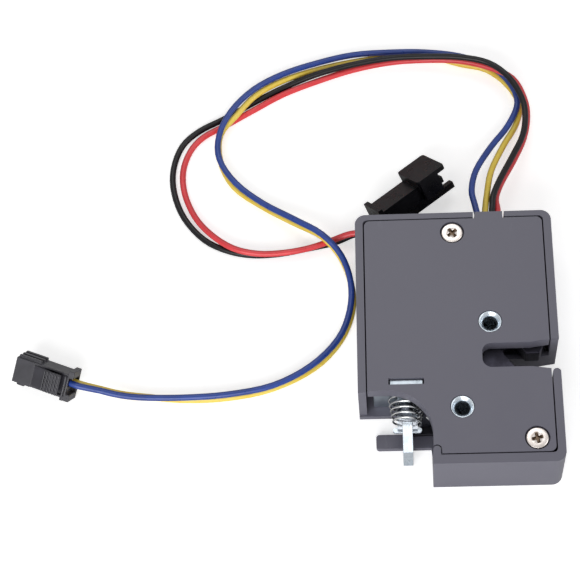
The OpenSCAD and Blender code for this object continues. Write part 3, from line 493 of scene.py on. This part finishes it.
def crossCutter(centre, top, turned, values):
    form = bmesh.new()
    for wing in (0, 90):
        cube = bmesh.ops.create_cube(form, size=1)["verts"]
        for vert in cube:
            upper = vert.co.z > 0
            share = values["flare"] if upper else values["narrow"]
            vert.co.x *= values["cross"] * share
            vert.co.y *= values["wing"] * share
            vert.co.z = values["over"] if upper else -values["depth"]
        bmesh.ops.rotate(form, verts=cube, matrix=Matrix.Rotation(math.radians(turned + wing), 3, "Z"))
    for vert in form.verts:
        vert.co = centre + (vert.co + Vector((0, 0, top))) * mm
    mesh = bpy.data.meshes.new("crossCutter")
    form.to_mesh(mesh)
    form.free()
    # the recess faces take the darker brown nickel of the painted shade
    mesh.materials.append(recessShadeNickel)
    return addPiece("crossCutter", mesh)


def threadRings(start, length, values):
    # the shank from its start down, with a thread that runs in and out over one turn
    sides, turn, pitch = values["sides"], values["ringsPerTurn"], values["pitch"]
    core = values["shank"] / 2 - values["threadDepth"]
    steps = round(length / pitch * turn)
    rings = []
    for step in range(steps + 1):
        height = start - length * step / steps
        run = min(1, step / turn, (steps - step) / turn)
        # 0.5 is the crest's place in a turn
        away = [abs((height / pitch + k / sides) % 1 - 0.5) for k in range(sides)]
        radii = [core + values["threadDepth"] * run * max(0, 1 - values["flank"] * a) for a in away]
        rings.append((radii, height))
    tip = start - length - values["point"]
    return rings + [([core * values["tipSize"]] * sides, tip + values["tipRise"])]


def makeScrew(node, values):
    low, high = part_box(node)
    top, tip = high[2] / mm, low[2] / mm
    headRadius = (high[0] - low[0]) / 2 / mm
    rings = [([share * headRadius] * values["sides"], top - under) for share, under in values["head"]]
    start = top - values["seat"]
    rings += threadRings(start, start - tip - values["point"], values) + [([0], tip)]
    screw = turnedPiece(node, rings)
    screw.data.materials.append(materials["nickel_screw"])
    cutter = crossCutter(axisOf(node), top, values["turned"][node], values)
    cut = screw.modifiers.new("crossRecess", "BOOLEAN")
    cut.operation = "DIFFERENCE"
    cut.solver = "EXACT"
    cut.use_self = True
    cut.material_mode = "TRANSFER"
    cut.object = cutter
    settle(bake(screw), node)
    bpy.data.objects.remove(cutter)


for node in screwForm["turned"]:
    makeScrew(node, screwForm)
print("screws driven")

# eyelets for the fixing screws: the mouth is flared like a trumpet and its rim rolled over
sleeveForm = {
    "sides": 72,
    # radius in mm, with mm under the top; then the foot, in mm over the bottom
    "mouth": [(2.8, 2.2), (2.8, 1.1), (3.4, 1.1), (3.55, 0.95), (3.55, 0.4), (3.47, 0.16), (3.3, 0.02),
              (3.16, 0.05), (3.02, 0.2), (2.62, 0.62), (2.3, 1.0), (2.14, 1.3), (2.1, 1.7)],
    "foot": [(2.1, 0.3), (2.25, 0.0), (2.6, 0.0), (2.8, 0.2)],
}


def makeSleeve(node, values):
    low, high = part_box(node)
    rows = [(radius, high[2] / mm - under) for radius, under in values["mouth"]]
    rows += [(radius, low[2] / mm + over) for radius, over in values["foot"]]
    settle(turnedPiece(node, [([radius] * values["sides"], height) for radius, height in rows], True), node)


for node in ("mounting_sleeve_upper", "mounting_sleeve_lower"):
    makeSleeve(node, sleeveForm)
print("sleeves flared")

# conical spring between the strip's head and the solenoid frame
springForm = {
    "Turns": 5.5,
    "Narrow Radius": 4.0,  # mm, at the strip's head
    "Wide Radius": 5.6,  # mm, at the frame
    "Wire": 0.6,  # mm
}
springPlace = {
    "start": 150,  # degrees, where the wire's end lies
    "steps": 40,  # points a turn
    "sides": 14,  # of the wire's section
    "keep": 0.75,  # share of its length that is left when the plunger is in
}


def springTree(values, place):
    # a wire swept along a conical spiral that stands on the origin
    tree = bpy.data.node_groups.new("conicalSpring", "GeometryNodeTree")
    tree.interface.new_socket("Geometry", in_out="OUTPUT", socket_type="NodeSocketGeometry")
    for name in (*values, "Length"):
        tree.interface.new_socket(name, in_out="INPUT", socket_type="NodeSocketFloat")
    tree.interface.new_socket("Finish", in_out="INPUT", socket_type="NodeSocketMaterial")
    given = addNode(tree, "NodeGroupInput").outputs
    path = addNode(tree, "GeometryNodeCurveSpiral", {"Resolution": place["steps"]},
                   {"Rotations": given["Turns"], "Start Radius": given["Narrow Radius"],
                    "End Radius": given["Wide Radius"], "Height": given["Length"]})
    half = addNode(tree, "ShaderNodeMath", {"operation": "MULTIPLY", 1: 0.5}, {0: given["Wire"]})
    section = addNode(tree, "GeometryNodeCurvePrimitiveCircle", {"Resolution": place["sides"]},
                      {"Radius": half.outputs[0]})
    swept = addNode(tree, "GeometryNodeCurveToMesh", {"Fill Caps": True},
                    {"Curve": path.outputs["Curve"], "Profile Curve": section.outputs["Curve"]})
    smooth = addNode(tree, "GeometryNodeSetShadeSmooth", {}, {"Geometry": swept.outputs["Mesh"]})
    real = addNode(tree, "GeometryNodeRealizeInstances", {}, {"Geometry": smooth.outputs["Geometry"]})
    finished = addNode(tree, "GeometryNodeSetMaterial", {},
                       {"Geometry": real.outputs["Geometry"], "Material": given["Finish"]})
    addNode(tree, "NodeGroupOutput", {}, {"Geometry": finished.outputs["Geometry"]})
    return tree


def makeSpring(node, values, place):
    low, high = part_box(node)
    axisLow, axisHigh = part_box("plunger")
    wire = values["Wire"] * mm
    tree = springTree(values, place)
    spring = addPiece(pieceName(node), bpy.data.meshes.new(pieceName(node)))
    sweep = spring.modifiers.new("conicalSpring", "NODES")
    sweep.node_group = tree
    sockets = {item.name: item.identifier for item in tree.interface.items_tree if item.in_out == "INPUT"}
    for name, value in values.items():
        sweep[sockets[name]] = value if name == "Turns" else value * mm
    sweep[sockets["Length"]] = high[1] - low[1] - wire
    sweep[sockets["Finish"]] = materials[slotOf[node]]
    bake(spring)
    foot = Vector(((axisLow[0] + axisHigh[0]) / 2, low[1] + wire / 2, (axisLow[2] + axisHigh[2]) / 2))
    spring.data.transform(Matrix.Translation(foot) @ Matrix.Rotation(-math.pi / 2, 4, "X")
                          @ Matrix.Rotation(math.radians(place["start"]), 4, "Z"))
    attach(spring, "case")
    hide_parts(node)
    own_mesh(spring)


makeSpring("plunger_spring", springForm, springPlace)
print("spring wound")

# studio: white tent, one large soft lamp low in front, a smaller one at the side and one behind
studio = {
    "floor": {"Base Color": linear("#F4F4F4"), "Roughness": 0.9, "IOR": 1.3, "Emission Color": (1, 1, 1, 1)},
    "floorSize": 3000,  # mm, far past the wires
    "floorGlow": 0.55,  # seen by the camera alone
    "skyLight": 0.22,  # what the tent lights the object with
    "skyGloss": 0.7,  # what shines back in metal
    # name, place in mm, size in mm, watts
    "lamps": [("frontLamp", (-220, -640, 360), 600, 4.6), ("sideLamp", (520, -60, 420), 360, 0.8),
              ("backLamp", (-80, 420, 700), 420, 0.9)],
}


def makeFloor(values):
    # pale matt board, as under a product shot
    floor = addPiece("floor", bpy.data.meshes.new("floor"))
    form = bmesh.new()
    bmesh.ops.create_grid(form, x_segments=1, y_segments=1, size=values["floorSize"] * mm)
    form.to_mesh(floor.data)
    form.free()
    material, tree = newMaterial("paleFloor")
    seen = addNode(tree, "ShaderNodeLightPath")
    glow = addNode(tree, "ShaderNodeMath", {"operation": "MULTIPLY", 1: values["floorGlow"]},
                   {0: seen.outputs["Is Camera Ray"]})
    closeMaterial(tree, values["floor"], {"Emission Strength": glow.outputs[0]})
    floor.data.materials.append(material)


def makeLamp(name, place, size, watts):
    # it faces the middle of the case
    data = bpy.data.lights.new(name, "AREA")
    data.size = size * mm
    data.energy = watts
    lamp = bpy.data.objects.new(name, data)
    lamp.location = Vector(place) * mm
    lamp.rotation_euler = (-lamp.location).to_track_quat("-Z", "Y").to_euler()
    bpy.context.scene.collection.objects.link(lamp)


def makeTent(values):
    # white to the camera, dimmer as a light
    world = bpy.data.worlds.new("whiteTent")
    world.use_nodes = True
    tree = world.node_tree
    tree.nodes.clear()
    seen = addNode(tree, "ShaderNodeLightPath")
    shone = addNode(tree, "ShaderNodeMapRange", {"To Min": values["skyLight"], "To Max": values["skyGloss"]},
                    {"Value": seen.outputs["Is Glossy Ray"]})
    strength = addNode(tree, "ShaderNodeMath", {"operation": "MAXIMUM"},
                       {0: shone.outputs["Result"], 1: seen.outputs["Is Camera Ray"]})
    background = addNode(tree, "ShaderNodeBackground", {"Color": (1, 1, 1, 1)},
                         {"Strength": strength.outputs["Value"]})
    addNode(tree, "ShaderNodeOutputWorld", links={"Surface": background.outputs["Background"]})
    bpy.context.scene.world = world


makeFloor(studio)
for lamp in studio["lamps"]:
    makeLamp(*lamp)
makeTent(studio)
bpy.context.scene.view_settings.view_transform = "Standard"
print("studio lit")

bpy.context.view_layer.update()
